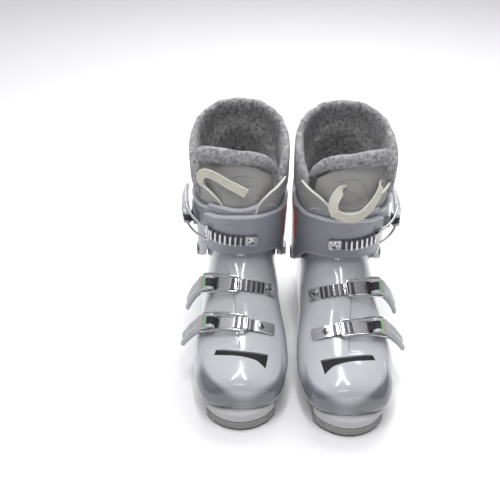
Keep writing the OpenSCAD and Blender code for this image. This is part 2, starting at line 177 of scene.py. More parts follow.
def joinShapes(shapes):
    verts, faces, mats = [], [], []
    for s in shapes:
        n = len(verts)
        verts += list(s[0])
        faces += [tuple(i + n for i in f) for f in s[1]]
        mats += list(s[2]) if len(s) > 2 else [0] * len(s[1])
    return verts, faces, mats


def painted(shape, index):
    return shape[0], shape[1], [index] * len(shape[1])


def ringSolid(rings, closed=False):
    # closed tube through rings of equal length; the ends are capped unless the tube is a loop
    n, k = len(rings), len(rings[0])
    verts = [tuple(p) for r in rings for p in r]
    faces = []
    for i in range(n if closed else n - 1):
        a, b = i * k, ((i + 1) % n) * k
        for j in range(k):
            j2 = (j + 1) % k
            faces.append((a + j, a + j2, b + j2, b + j))
    if not closed:
        faces.append(tuple(range(k - 1, -1, -1)))
        faces.append(tuple(range((n - 1) * k, n * k)))
    return verts, faces


def extrudeOutline(points, z0, z1):
    n = len(points)
    verts = [(x, y, z0) for x, y in points] + [(x, y, z1) for x, y in points]
    faces = [tuple(range(n - 1, -1, -1)), tuple(range(n, 2 * n))]
    faces += [(i, (i + 1) % n, n + (i + 1) % n, n + i) for i in range(n)]
    return verts, faces


def circle(radius, sides, x=0.0, y=0.0):
    turns = [2 * math.pi * k / sides for k in range(sides)]
    return [(x + radius * math.cos(a), y + radius * math.sin(a)) for a in turns]


def turned(profile, sides=32):
    # lathe of (radius, height) pairs about z, closed at both ends
    return ringSolid([[(x, y, h) for x, y in circle(r, sides)] for r, h in profile])


def sweep(path, section, across=None):
    # section is a list of (side, up) pairs; across gives the side direction where it matters
    rings = []
    side = None
    for i, p in enumerate(path):
        t = (path[min(i + 1, len(path) - 1)] - path[max(i - 1, 0)]).normalized()
        if across:
            side = (across[i] - t * across[i].dot(t)).normalized()
        elif side is None:
            side = t.orthogonal().normalized()
        else:
            side = (side - t * side.dot(t)).normalized()
        up = t.cross(side)
        rings.append([p + side * a + up * b for a, b in section])
    return ringSolid(rings)


def newGroup(name, inputs, outputs):
    g = bpy.data.node_groups.new(name, "ShaderNodeTree")
    for label, kind, value in inputs:
        s = g.interface.new_socket(label, in_out="INPUT", socket_type=kind)
        s.default_value = value
    for label, kind in outputs:
        g.interface.new_socket(label, in_out="OUTPUT", socket_type=kind)
    return g, g.nodes.new("NodeGroupInput"), g.nodes.new("NodeGroupOutput")


def addNode(tree, kind, **values):
    n = tree.nodes.new(kind)
    for key, v in values.items():
        if hasattr(n, key):
            setattr(n, key, v)
        else:
            n.inputs[key.replace("_", " ")].default_value = v
    return n


def buildScuffs():
    # fine scratches and rubbed spots: a mask that is 1 where the surface is worn
    g, gi, go = newGroup("scuffs",
                         [("Scale", "NodeSocketFloat", 60.0), ("Amount", "NodeSocketFloat", 0.3)],
                         [("Mask", "NodeSocketFloat"), ("Height", "NodeSocketFloat")])
    coords = addNode(g, "ShaderNodeTexCoord")
    stretch = addNode(g, "ShaderNodeMapping")
    stretch.inputs["Scale"].default_value = (1.0, 5.0, 9.0)
    stretch.inputs["Rotation"].default_value = (0.4, 0.2, 0.7)
    g.links.new(coords.outputs["Object"], stretch.inputs["Vector"])
    lines = addNode(g, "ShaderNodeTexNoise", Detail=4.0, Roughness=0.6)
    g.links.new(stretch.outputs[0], lines.inputs["Vector"])
    g.links.new(gi.outputs["Scale"], lines.inputs["Scale"])
    spots = addNode(g, "ShaderNodeTexNoise", Scale=24.0, Detail=3.0)
    g.links.new(coords.outputs["Object"], spots.inputs["Vector"])
    both = addNode(g, "ShaderNodeMath", operation="MULTIPLY")
    g.links.new(lines.outputs["Fac"], both.inputs[0])
    g.links.new(spots.outputs["Fac"], both.inputs[1])
    cut = addNode(g, "ShaderNodeMapRange")
    cut.inputs["From Min"].default_value = 0.3
    cut.inputs["From Max"].default_value = 0.46
    g.links.new(both.outputs[0], cut.inputs["Value"])
    amount = addNode(g, "ShaderNodeMath", operation="MULTIPLY")
    g.links.new(cut.outputs[0], amount.inputs[0])
    g.links.new(gi.outputs["Amount"], amount.inputs[1])
    g.links.new(amount.outputs[0], go.inputs["Mask"])
    g.links.new(lines.outputs["Fac"], go.inputs["Height"])
    return g


def buildSoftWaves():
    # the faint waviness and fine orange peel of moulded plastic
    g, gi, go = newGroup("mouldedSkin",
                         [("Fine", "NodeSocketFloat", 900.0), ("Wave", "NodeSocketFloat", 22.0)],
                         [("Height", "NodeSocketFloat"), ("Tone", "NodeSocketFloat")])
    coords = addNode(g, "ShaderNodeTexCoord")
    fine = addNode(g, "ShaderNodeTexNoise", Detail=2.0)
    wave = addNode(g, "ShaderNodeTexNoise", Detail=1.0)
    g.links.new(coords.outputs["Object"], fine.inputs["Vector"])
    g.links.new(coords.outputs["Object"], wave.inputs["Vector"])
    g.links.new(gi.outputs["Fine"], fine.inputs["Scale"])
    g.links.new(gi.outputs["Wave"], wave.inputs["Scale"])
    part = addNode(g, "ShaderNodeMath", operation="MULTIPLY")
    part.inputs[1].default_value = 0.08
    g.links.new(fine.outputs["Fac"], part.inputs[0])
    total = addNode(g, "ShaderNodeMath", operation="ADD")
    g.links.new(part.outputs[0], total.inputs[0])
    g.links.new(wave.outputs["Fac"], total.inputs[1])
    g.links.new(total.outputs[0], go.inputs["Height"])
    g.links.new(wave.outputs["Fac"], go.inputs["Tone"])
    return g


def buildHeather():
    # mixed light and dark fibres of a brushed fleece
    g, gi, go = newGroup("heatherFibres",
                         [("Scale", "NodeSocketFloat", 1100.0), ("Clumps", "NodeSocketFloat", 260.0)],
                         [("Mix", "NodeSocketFloat"), ("Height", "NodeSocketFloat")])
    coords = addNode(g, "ShaderNodeTexCoord")
    fibres = addNode(g, "ShaderNodeTexNoise", Detail=3.0, Roughness=0.75, Distortion=1.2)
    clumps = addNode(g, "ShaderNodeTexNoise", Detail=2.0, Roughness=0.6)
    for n, socket in ((fibres, "Scale"), (clumps, "Clumps")):
        g.links.new(coords.outputs["Object"], n.inputs["Vector"])
        g.links.new(gi.outputs[socket], n.inputs["Scale"])
    mix = addNode(g, "ShaderNodeMath", operation="MULTIPLY_ADD")
    mix.inputs[1].default_value = 0.62
    part = addNode(g, "ShaderNodeMath", operation="MULTIPLY")
    part.inputs[1].default_value = 0.38
    g.links.new(clumps.outputs["Fac"], part.inputs[0])
    g.links.new(fibres.outputs["Fac"], mix.inputs[0])
    g.links.new(part.outputs[0], mix.inputs[2])
    sharp = addNode(g, "ShaderNodeMapRange")
    sharp.inputs["From Min"].default_value = 0.40
    sharp.inputs["From Max"].default_value = 0.60
    g.links.new(mix.outputs[0], sharp.inputs["Value"])
    g.links.new(sharp.outputs[0], go.inputs["Mix"])
    g.links.new(mix.outputs[0], go.inputs["Height"])
    return g


scuffs = buildScuffs()
mouldedSkin = buildSoftWaves()
heather = buildHeather()


def newMaterial(name, colour, roughness, **sockets):
    m = bpy.data.materials.new(name)
    m.use_nodes = True
    b = m.node_tree.nodes["Principled BSDF"]
    b.inputs["Base Color"].default_value = (*colour, 1)
    b.inputs["Roughness"].default_value = roughness
    for key, v in sockets.items():
        b.inputs[key.replace("_", " ")].default_value = v
    return m, m.node_tree, b


def useGroup(tree, group, **values):
    n = tree.nodes.new("ShaderNodeGroup")
    n.node_tree = group
    for key, v in values.items():
        n.inputs[key].default_value = v
    return n


def mixColours(tree, fac, a, b, target):
    n = tree.nodes.new("ShaderNodeMix")
    n.data_type = "RGBA"
    n.inputs[6].default_value = (*a, 1)
    n.inputs[7].default_value = (*b, 1)
    tree.links.new(fac, n.inputs[0])
    tree.links.new(n.outputs[2], target)
    return n


def rangeTo(tree, fac, low, high, target):
    n = tree.nodes.new("ShaderNodeMapRange")
    n.inputs["To Min"].default_value = low
    n.inputs["To Max"].default_value = high
    tree.links.new(fac, n.inputs["Value"])
    tree.links.new(n.outputs[0], target)
    return n


def bumpFrom(tree, height, strength, distance, target):
    n = tree.nodes.new("ShaderNodeBump")
    n.inputs["Strength"].default_value = strength
    n.inputs["Distance"].default_value = distance
    tree.links.new(height, n.inputs["Height"])
    tree.links.new(n.outputs[0], target)
    return n


def mouldedPlastic(name, light, dark, roughness, wear, coat, wave=0.0006):
    m, tree, b = newMaterial(name, light, roughness, Coat_Weight=coat, Coat_Roughness=0.06, IOR=1.5)
    skin = useGroup(tree, mouldedSkin)
    worn = useGroup(tree, scuffs, Amount=wear)
    mixColours(tree, skin.outputs["Tone"], dark, light, b.inputs["Base Color"])
    rangeTo(tree, worn.outputs["Mask"], roughness, roughness + 0.35, b.inputs["Roughness"])
    bumpFrom(tree, skin.outputs["Height"], 0.35, wave, b.inputs["Normal"])
    return m


def addPaintedShade(m, darker):
    # the "shade" mask pulls the plastic towards a darker tone, painted shade for the bumper below the toe panel
    tree = m.node_tree
    base = tree.nodes["Principled BSDF"].inputs["Base Color"]
    before = base.links[0].from_socket
    mask = tree.nodes.new("ShaderNodeAttribute")
    mask.attribute_name = "shade"
    mixed = mixColours(tree, mask.outputs["Fac"], darker, darker, base)
    tree.links.new(before, mixed.inputs[6])


def polishedMetal(name, colour, roughness):
    m, tree, b = newMaterial(name, colour, roughness, Metallic=1.0)
    worn = useGroup(tree, scuffs, Amount=1.0, Scale=140.0)
    rangeTo(tree, worn.outputs["Mask"], roughness, roughness + 0.22, b.inputs["Roughness"])
    mixColours(tree, worn.outputs["Mask"], colour, tuple(c * 0.72 for c in colour), b.inputs["Base Color"])
    bumpFrom(tree, worn.outputs["Height"], 0.12, 0.0004, b.inputs["Normal"])
    return m


def fleeceCloth(name, light, dark):
    m, tree, b = newMaterial(name, light, 0.95, Sheen_Weight=0.35, Sheen_Roughness=0.6,
                             Specular_IOR_Level=0.15)
    fibres = useGroup(tree, heather)
    mixColours(tree, fibres.outputs["Mix"], dark, light, b.inputs["Base Color"])
    bumpFrom(tree, fibres.outputs["Height"], 0.9, 0.0012, b.inputs["Normal"])
    return m


def softVinyl(name, light, dark):
    m, tree, b = newMaterial(name, light, 0.55, Specular_IOR_Level=0.35)
    grain = tree.nodes.new("ShaderNodeTexVoronoi")
    grain.inputs["Scale"].default_value = 900
    coords = tree.nodes.new("ShaderNodeTexCoord")
    tree.links.new(coords.outputs["Object"], grain.inputs["Vector"])
    skin = useGroup(tree, mouldedSkin, Wave=40.0)
    mixColours(tree, skin.outputs["Tone"], dark, light, b.inputs["Base Color"])
    bumpFrom(tree, grain.outputs["Distance"], 0.35, 0.0005, b.inputs["Normal"])
    return m


def ribbedElastic(name, light, dark):
    m, tree, b = newMaterial(name, light, 0.8, Sheen_Weight=0.2)
    yarn = tree.nodes.new("ShaderNodeTexNoise")
    yarn.inputs["Scale"].default_value = 1500
    coords = tree.nodes.new("ShaderNodeTexCoord")
    tree.links.new(coords.outputs["Object"], yarn.inputs["Vector"])
    mixColours(tree, yarn.outputs["Fac"], dark, light, b.inputs["Base Color"])
    bumpFrom(tree, yarn.outputs["Fac"], 0.5, 0.0005, b.inputs["Normal"])
    return m


def rubbedRubber(name, colour, pale, wear):
    m, tree, b = newMaterial(name, colour, 0.75)
    worn = useGroup(tree, scuffs, Amount=wear, Scale=90.0)
    mixColours(tree, worn.outputs["Mask"], colour, pale, b.inputs["Base Color"])
    bumpFrom(tree, worn.outputs["Height"], 0.4, 0.0006, b.inputs["Normal"])
    return m


shellWhite = mouldedPlastic("pearlShell", (0.58, 0.59, 0.62), (0.53, 0.54, 0.58), 0.16, 0.3, 0.9)
# painted shade: the bumper band below the toe is pulled to this darker colour
addPaintedShade(shellWhite, (0.17, 0.175, 0.20))
cuffGrey = mouldedPlastic("lavenderCuff", (0.33, 0.34, 0.385), (0.295, 0.305, 0.35), 0.34, 0.3, 0.3)
# painted highlight: pale material on the top rim faces of the cuff
cuffRimHighlight = mouldedPlastic("paintedRimHighlight", (0.60, 0.61, 0.65), (0.52, 0.53, 0.58), 0.28, 0.2, 0.4)
lugWhite = rubbedRubber("scuffedLug", (0.62, 0.62, 0.625), (0.36, 0.35, 0.335), 0.7)
padGrey = rubbedRubber("solePad", (0.33, 0.325, 0.315), (0.20, 0.19, 0.18), 0.8)
padBlack = rubbedRubber("soleTread", (0.015, 0.015, 0.016), (0.10, 0.10, 0.10), 0.4)
sealBlack = rubbedRubber("sealRubber", (0.012, 0.011, 0.012), (0.03, 0.03, 0.03), 0.3)
fleece = fleeceCloth("heatherFleece", (0.60, 0.60, 0.605), (0.09, 0.09, 0.095))
fleecePale = fleeceCloth("paleFleece", (0.54, 0.54, 0.55), (0.12, 0.12, 0.125))
vinyl = softVinyl("tongueVinyl", (0.40, 0.395, 0.385), (0.35, 0.345, 0.335))
piping = ribbedElastic("whitePiping", (0.85, 0.84, 0.80), (0.66, 0.65, 0.60))
elastic = ribbedElastic("creamElastic", (0.86, 0.84, 0.76), (0.60, 0.57, 0.48))
badgeRed = mouldedPlastic("orangePatch", (0.80, 0.075, 0.02), (0.66, 0.05, 0.015), 0.25, 0.2, 0.4)
chrome = polishedMetal("chromedSteel", (0.62, 0.62, 0.64), 0.16)
steel = polishedMetal("dullSteel", (0.42, 0.42, 0.44), 0.34)
toothGap = polishedMetal("toothGroove", (0.10, 0.10, 0.11), 0.45)
leverPlastic = mouldedPlastic("leverPlastic", (0.56, 0.57, 0.585), (0.40, 0.41, 0.43), 0.25, 0.5, 0.4)
# near-black for the buckle barrels and inner boards, and painted shade in the screw slots
darkPartsAndSlotShade = rubbedRubber("darkBarrelAndSlotShade", (0.02, 0.022, 0.025), (0.12, 0.12, 0.13), 0.5)
dotGreen = mouldedPlastic("greenDots", (0.10, 0.62, 0.05), (0.07, 0.5, 0.04), 0.3, 0.1, 0.3)
dotCrimson = mouldedPlastic("crimsonDots", (0.42, 0.01, 0.09), (0.32, 0.008, 0.07), 0.3, 0.1, 0.3)
print("materials ready")


shellSet = {
    # bottom y, z, top y, z, half width, height share of the widest place, upper and lower roundness
    "sections": [
        (-132, 33, -131.6, 37, 5, 0.5, 2, 2), (-131, 27, -130, 43, 17, 0.48, 2, 2),
        (-129.6, 21.5, -126.6, 50.5, 28.5, 0.45, 2, 2.3), (-125.5, 18, -118.5, 57, 37.5, 0.4, 2, 2.5),
        (-116, 17, -104, 61.8, 44, 0.36, 2.1, 2.7), (-99, 17, -88, 66, 48, 0.34, 2.1, 2.8),
        (-75, 17, -66, 75.5, 49, 0.34, 2.05, 2.9), (-50, 17, -49, 88, 48, 0.34, 2, 3.1),
        (-22, 17, -34, 101.5, 45, 0.34, 2, 3.4), (8, 17, -22, 110, 43, 0.34, 2.1, 4),
        (42, 17, -15, 115.5, 42, 0.35, 2.4, 4), (78, 17, -11, 119.5, 41, 0.36, 2.6, 3.8),
        (106, 17.5, -8, 123.5, 40.5, 0.38, 2.6, 3.4), (123, 27, -6, 127.5, 40.5, 0.4, 2.6, 3),
        (127, 48, -4.5, 131, 41, 0.42, 2.5, 2.8), (124, 72, -3.2, 134.5, 41.5, 0.44, 2.4, 2.6),
        (118, 96, -2.2, 138, 41.5, 0.47, 2.3, 2.4), (112, 115, -1.5, 141, 41.5, 0.5, 2.2, 2.3),
    ],
    "wall": 3.6, "rings": 190, "sides": 220, "overlapStep": 1.5,
    # the bumper below the toe panel: middle and radii of its edge in plan, and how far it stands back
    "bumper": (3, -95, 37, 34.5), "bumperStep": 1.7,
    "slotBack": [(-24, -88), (-10, -91), (3, -92.8), (16, -93.2), (28, -92.8)],
    "slotFront": [(25, -108.5), (20, -104.5), (15, -101.7), (1, -98.5), (-15, -96.2), (-26, -93.5)],
    "slotFrom": 44, "slotTo": 80,  # heights between which the slot is cut
    # where the outer flap of the overlap ends, as an angle from the crown, against the section
    "seam": [(0, 0), (4.6, 1), (6, -2), (7, -6), (8, -11), (10, -19), (17, -24)],
}


def sectionPoint(st, angle, off):
    by, bz, ty, tz, w, m, nt, nb = st
    low, top = Vector((by, bz)), Vector((ty, tz))
    way = (top - low).normalized()
    off = min(off, w * 0.9)
    b = low + way * off
    span = (top - way * off - b).length
    c, s = math.cos(angle), math.sin(angle)
    n = nt if c >= 0 else nb
    rise = m + (1 - m) * c ** (2 / nt) if c >= 0 else m - m * (-c) ** (2 / nb)
    p = b + way * span * rise
    return Vector(((w - off) * signedPow(s, 2 / n), p.x, p.y))


def shellColumns(sides):
    # angles packed closer round the crown, with a tight pair at the seam
    out = [-180 + 360 * k / sides for k in range(sides) if abs(-180 + 360 * k / sides) > 1.0]
    return sorted(out + [-0.95, -0.8, -0.3, -0.12, 0.15, 0.55])


def shellSurface(t, theta, off, s=shellSet):
    st = catmull(s["sections"], t)
    seam = lookUp(t, s["seam"])
    angle = theta + seam * math.cos(math.radians(theta) / 2) ** 2
    if theta < 0:
        # the inner flap of the overlap lies lower on the outer side, with a groove along the seam
        begun = smooth((t - 4.9) / 0.25)
        off += s["overlapStep"] * begun * smooth(-theta / 0.5) * (1 - smooth((-theta - 25) / 60))
        if -0.85 < theta < -0.25:
            off += 1.3 * begun
    p = sectionPoint(st, math.radians(angle), off)
    if p.y < -78:
        cx, cy, rx, ry = s["bumper"]
        beyond = (math.hypot((p.x - cx) / rx, min(0, p.y - cy) / ry) - 1) * 36
        off += s["bumperStep"] * smooth(beyond / 4.5) * smooth((-80 - p.y) / 16)
        p = sectionPoint(st, math.radians(angle), off)
    return p


def applyModifiers(obj):
    dg = bpy.context.evaluated_depsgraph_get()
    mesh = bpy.data.meshes.new_from_object(obj.evaluated_get(dg))
    verts = [v.co / mm for v in mesh.vertices]
    faces = [tuple(p.vertices) for p in mesh.polygons]
    bpy.data.meshes.remove(mesh)
    return verts, faces


def dropObject(obj):
    mesh = obj.data
    bpy.data.objects.remove(obj)
    bpy.data.meshes.remove(mesh)


def cutShape(shape, cutter):
    a = makeObject("cutBody", [Vector(v) * mm for v in shape[0]], shape[1], [])
    c = makeObject("cutTool", [Vector(v) * mm for v in cutter[0]], cutter[1], [])
    b = a.modifiers.new("cut", "BOOLEAN")
    b.operation = "DIFFERENCE"
    b.solver = "EXACT"
    b.object = c
    out = applyModifiers(a)
    dropObject(a)
    dropObject(c)
    return out


def paintBumperShade(obj, side, s):
    # a mask of painted shade that darkens the bumper below the toe panel
    cx, cy, rx, ry = s["bumper"]
    shade = obj.data.attributes.new("shade", "FLOAT", "POINT")
    for i, v in enumerate(obj.data.vertices):
        x = (v.co.x - middles[side][0]) / mm * flips[side]
        y = (v.co.y - middles[side][1]) / mm
        beyond = (math.hypot((x - cx) / rx, min(0, y - cy) / ry) - 1) * 36
        shade.data[i].value = smooth((beyond + 0.5) / 4) * smooth((-88 - y) / 22)


def lowerShell(s):
    last = len(s["sections"]) - 1
    cols = shellColumns(s["sides"])
    outer = []
    for i in range(s["rings"] + 1):
        t = last * i / s["rings"]
        outer.append([shellSurface(t, th, 0) for th in cols])
    inner = []
    for i in range(60, -1, -1):
        t = 2.2 + (last - 2.2) * i / 60
        inner.append([shellSurface(t, th, s["wall"]) for th in cols])
    lip = [[(a * 0.5 + b * 0.5) + Vector((0, 0, 0.9)) for a, b in zip(outer[-1], inner[0])]]
    shape = ringSolid(outer + lip + inner)
    outline = [tuple(v) for v in smoothPath(s["slotBack"], 17) + smoothPath(s["slotFront"], 21)]
    shape = cutShape(shape, extrudeOutline(outline, s["slotFrom"], s["slotTo"]))
    shells = onBothBoots("lowerShell", shape, [shellWhite], "boot", "shell", ("lower_shell",), sharp=32)
    for side, obj in zip(sideNames, shells):
        paintBumperShade(obj, side, s)


lowerShell(shellSet)
print("lower shells made")


soleSet = {"half": 137.5, "width": 69.0, "bow": 19.0, "toeLength": 52.0, "heelLength": 72.0, "padTop": 10.0,
           "toeTop": 22.0, "heelTop": 31.0, "corner": 24.0, "treadHeight": 1.8}


def toeOutline(s, grow):
    half = s["width"] / 2
    r = (half * half + s["bow"] ** 2) / (2 * s["bow"])
    a = math.asin(half / r)
    turns = [a * k / 14 for k in range(-14, 15)]
    arc = [((r + grow) * math.sin(q), -s["half"] + r - (r + grow) * math.cos(q)) for q in turns]
    back = -s["half"] + s["toeLength"]
    return arc + [(half + grow, back), (-half - grow, back)]


def heelOutline(s, grow):
    half, c, back = s["width"] / 2, s["corner"], s["half"]
    q = [math.radians(9 * k) for k in range(11)]
    return ([(-half - grow, back - s["heelLength"]), (half + grow, back - s["heelLength"])]
            + [(half - c + (c + grow) * math.cos(a), back - c + (c + grow) * math.sin(a)) for a in q]
            + [(-half + c - (c + grow) * math.sin(a), back - c + (c + grow) * math.cos(a)) for a in q])


def soleScrewDot(x, y, z):
    shape = turned([(0.4, 1.0), (1.5, 0.8), (1.8, 0.2), (1.8, -0.6)], 16)
    turn = Matrix.Rotation(math.radians(90), 3, "X")
    return [turn @ Vector(v) + Vector((x, y, z)) for v in shape[0]], shape[1]


def soles(s):
    lugs = joinShapes([extrudeOutline(toeOutline(s, -0.6), s["padTop"] + 0.1, s["toeTop"]),
                       extrudeOutline(heelOutline(s, -0.6), s["padTop"] + 0.1, s["heelTop"])])
    onBothBoots("bindingLugs", lugs, [lugWhite], "boot", "shell", bevel=2.0)
    for name, outline in (("toe", toeOutline), ("heel", heelOutline)):
        parts = [painted(extrudeOutline(outline(s, 0), s["treadHeight"], s["padTop"]), 0),
                 painted(extrudeOutline(outline(s, -0.5), 0, s["treadHeight"] + 0.1), 1)]
        if name == "toe":
            r = ((s["width"] / 2) ** 2 + s["bow"] ** 2) / (2 * s["bow"])
            for x in (-27, 27):
                y = -s["half"] + r - math.sqrt(r * r - x * x)
                parts.append(painted(soleScrewDot(x, y - 0.2, 6.2), 2))
        onBothBoots(name + "SolePad", joinShapes(parts), [padGrey, padBlack, steel], "boot", "sole",
                    (name + "_sole",), bevel=0.9)


soles(soleSet)
print("soles made")


cuffSet = {
    "front": [(78, -13), (127, -15), (148, -18.5), (175, -22), (190, -22), (250, -24)],
    "back": [(78, 125), (105, 125), (118, 123), (130, 120.5), (190, 105), (250, 90)],
    "half": [(78, 48.5), (100, 49), (127, 49.5), (150, 50), (175, 50.5), (250, 51.5)],
    "top": [(-52, 178), (-38, 184), (-28, 186.5), (0, 183), (24, 185), (34, 185), (44, 178), (60, 175),
            (95, 176), (125, 192), (150, 214), (180, 222), (210, 214), (235, 192), (265, 170), (300, 172),
            (335, 176), (360, 177), (390, 175), (406, 173)],
    "low": [(0, 127.5), (30, 125), (48, 120), (60, 107), (74, 91), (86, 80), (96, 79), (106, 84),
            (122, 101), (140, 105), (180, 105)],
    "from": -52, "to": 406, "step": 3.4, "wall": 3.2, "rim": 0.8, "rimHeight": 3.0,
}


def legPoint(u, z, off, s=cuffSet):
    front, back = lineUp(z, s["front"]), lineUp(z, s["back"])
    half = lineUp(z, s["half"]) - off
    depth = (back - front) / 2 - off
    a = math.radians(u)
    p = 2 / 2.25
    return Vector((-half * signedPow(math.sin(a), p), (front + back) / 2 - depth * signedPow(math.cos(a), p), z))


def flapInset(u, s=cuffSet):
    return s["step"] * (1 - smooth((u - 50) / 30))


def cuffShape(s):
    columns, rows = 300, 44
    rings = []
    for i in range(columns + 1):
        u = s["from"] + (s["to"] - s["from"]) * i / columns
        fold = abs(u - 360 if u > 180 else u)
        low, top = lineUp(fold, s["low"]), lookUp(u, s["top"])
        # round corners at the free ends of both flaps
        for end in (s["from"], s["to"]):
            near = max(0.0, 1 - abs(u - end) / 9)
            cut = 9 * (1 - math.sqrt(max(0, 1 - near * near)))
            top -= cut
            low += cut
        out = []
        for k in range(rows + 1):
            v = k / rows
            z = low + (top - low) * v
            rim = s["rim"] * smooth((z - (top - s["rimHeight"] - 0.8)) / 0.8)
            rim += 0.45 * smooth(((low + 2.2) - z) / 0.8)
            if u > 330:  # raised band below the top edge of the outer flap
                inBand = smooth(z - (top - 11)) * (1 - smooth(z - (top - 5)))
                rim += 0.5 * inBand * smooth((u - 345) / 25)
            roundEdge = 0.9 * (1 - smooth((top - z) / 1.2)) + 0.9 * (1 - smooth((z - low) / 1.2))
            out.append((z, flapInset(u) - rim + roundEdge))
        front = [legPoint(u, z, o) for z, o in out]
        back = []
        for k, (z, o) in enumerate(out):
            ear = 4.0 * (1 - smooth((z - 92) / 26)) * smooth((fold - 58) / 22)  # thicker round the pivots
            nudge = 0.35 if k == 0 else -0.35 if k == rows else 0
            back.append(legPoint(u, z + nudge, flapInset(u) + s["wall"] + ear))
        rings.append(front + list(reversed(back)))
    shape = ringSolid(rings)
    mats = []  # the faces of the rim are pale: a painted highlight along the top edge
    n = 2 * (rows + 1)
    for f in shape[1]:
        row = max(v % n for v in f)
        low = min(shape[0][v][2] for v in f)
        ring = f[0] // n
        topZ = max(shape[0][ring * n + j][2] for j in range(n))
        mats.append(1 if len(f) == 4 and low > topZ - s["rimHeight"] - 0.5 and row <= rows + 2 else 0)
    return shape[0], shape[1], mats


onBothBoots("cuff", cuffShape(cuffSet), [cuffGrey, cuffRimHighlight], "leg", "cuff_shell", ("cuff",), sharp=40)
print("cuffs made")


# a badge that leans back with its two slanting edges; angles round the leg, then heights and their slopes
patchSet = {"from": 262, "to": 289, "middle": 286, "low": 124, "lowSlope": 1.1, "top": 151, "topSlope": 0.55}


def cuffPatch(s):
    rings = []
    for i in range(17):
        u = s["from"] + (s["to"] - s["from"]) * i / 16
        low = s["low"] + (s["middle"] - u) * s["lowSlope"]
        top = s["top"] + (s["middle"] - u) * s["topSlope"]
        zs = [low + (top - low) * k / 14 for k in range(15)]
        rings.append([legPoint(u, z, -0.8) for z in zs] + [legPoint(u, z, 0.6) for z in reversed(zs)])
    return ringSolid(rings)


onBothBoots("cuffPatch", cuffPatch(patchSet), [badgeRed], "leg", "patch", ("cuff_patch",), bevel=0.3)

rivetSet = {
    "x": 49.6, "y": 46, "z": 93,
    "profile": [(5, -7), (5, 0), (8, 0), (8, 0.6), (7.2, 1.3), (4.8, 1.6), (4.2, 1.1), (0.4, 1.0)],
}


def pivotRivets(s):
    parts = []
    for sign in (-1, 1):
        head = turned(s["profile"], 40)
        turn = Matrix.Rotation(math.radians(90 * sign), 3, "Y")
        place = Vector((sign * s["x"], s["y"], s["z"]))
        parts.append(([turn @ Vector(v) + place for v in head[0]], head[1]))
    return joinShapes(parts)


onBothBoots("pivotRivets", pivotRivets(rivetSet), [steel], "boot", "steel", ("pivot_rivets",))
print("patches and rivets made")


seats = {
    # crown y, z, tilt, turn, radius; angles of ladder ends, screw, hinge, bail ends;
    # lever length and bend; base depth, lean of the lever's free end, angle of the first tooth
    "toe": (-66.6, 77, 27, -6, 55, -26, 37, 21.5, -29, -40, 7, 40, 90, 1, 13, -7.4),
    "instep": (-34, 101.6, 40, -6, 43.5, -33, 50, 40, -39, -52, -2, 41, 85, 3, 19, -14),
    "cuff": (-18.6, 147, 96, -4, 50.5, -44, 20, 13, -76, -88, -36, 50, 150, 5, 0, -40.3),
}
buckleSet = {
    # heights above the arc: the hinge pin, the bail's end on the lever and its wire on the ladder
    "hinge": 7, "bail": 8, "hook": 3.4,
    "ladderWidth": 12, "pitch": 5.0, "leverWidth": 15.5, "wire": 1.3, "wireCorner": 2.6,
    # printed dots: place along the lever, depth in its face, number, size, material
    "dots": [(0.135, 0.2, 5, 1.15, 0), (0.205, 0.2, 6, 0.65, 1), (0.31, 0.3, 6, 0.55, 1)],
}


def seatMatrix(seat):
    tilt = Matrix.Rotation(math.radians(90 + seat[2]), 4, "X")
    turn = Matrix.Rotation(math.radians(seat[3]), 4, "Y")
    return Matrix.Translation((0, seat[0], seat[1])) @ tilt @ turn @ Matrix.Translation((0, -seat[4], 0))


def polar(angle, r):
    a = math.radians(angle)
    return r * math.sin(a), r * math.cos(a)


def atSeat(seat, shape):
    m = seatMatrix(seat)
    return ([m @ Vector(v) for v in shape[0]],) + tuple(shape[1:])


def chamfered(width, inner, outer, c=0.35):
    # corners of a band's cross-section as (z, radius) pairs, going round once
    w = width / 2
    return [(-w + c, inner), (w - c, inner), (w, inner + c), (w, outer - c), (w - c, outer), (-w + c, outer),
            (-w, outer - c), (-w, inner + c)]


def band(rows, centre=(0.0, 0.0)):
    # rows of (angle, inner, outer, width) about a centre in the seat's plane
    rings = []
    for angle, inner, outer, width in rows:
        ring = []
        for z, r in chamfered(width, inner, outer, min(0.35, (outer - inner) / 3)):
            x, y = polar(angle, r)
            ring.append((centre[0] + x, centre[1] + y, z))
        rings.append(ring)
    return ringSolid(rings)


def ladderShape(seat, s):
    r = seat[4]
    step = s["pitch"] / r * 180 / math.pi
    first = seat[15]
    count = int((seat[7] - first) / step - 0.9)
    marks = {}

    def put(angle, height):
        marks[round(angle, 3)] = height

    low, high = 1.7, 4.1
    for k in range(9):
        put(seat[5] + (first - 1 - seat[5]) * k / 8, low)
    for k in range(count):
        a = first + step * k
        for part, h in ((0.0, low), (0.08, high), (0.44, high), (0.54, low), (0.98, low)):
            put(a + step * part, h)
    tail = first + step * count + 1
    for k in range(21):
        put(tail + (seat[6] - tail) * k / 20, low)
    rows = []
    for a in sorted(marks):
        width = s["ladderWidth"]
        fromEnd = (seat[6] - a) * math.pi / 180 * r
        if fromEnd < 2:  # rounded corners of the free end
            width -= 2 * (2 - math.sqrt(max(0, 4 - (2 - fromEnd) ** 2)))
        if a < first - 2:
            width += 1.2
        lift = 1.9 * smooth((a - seat[7] + 9) / 12)
        rows.append((a, r + 0.1, r + marks[a] + lift, width))
    shape = band(rows)
    # the grooves between the teeth hold dirt and shade
    last = first + step * count
    deep = []
    for i in range(len(rows) - 1):
        a0, a1 = rows[i][0], rows[i + 1][0]
        groove = first + step * 0.5 < a0 < last and marks[a0] == low and marks[a1] == low
        deep += [1 if groove else 0] * 8
    return shape[0], shape[1], deep + [0, 0]


upright = Matrix.Rotation(math.radians(-90), 4, "X")  # turns a lathed shape to stand out from the arc


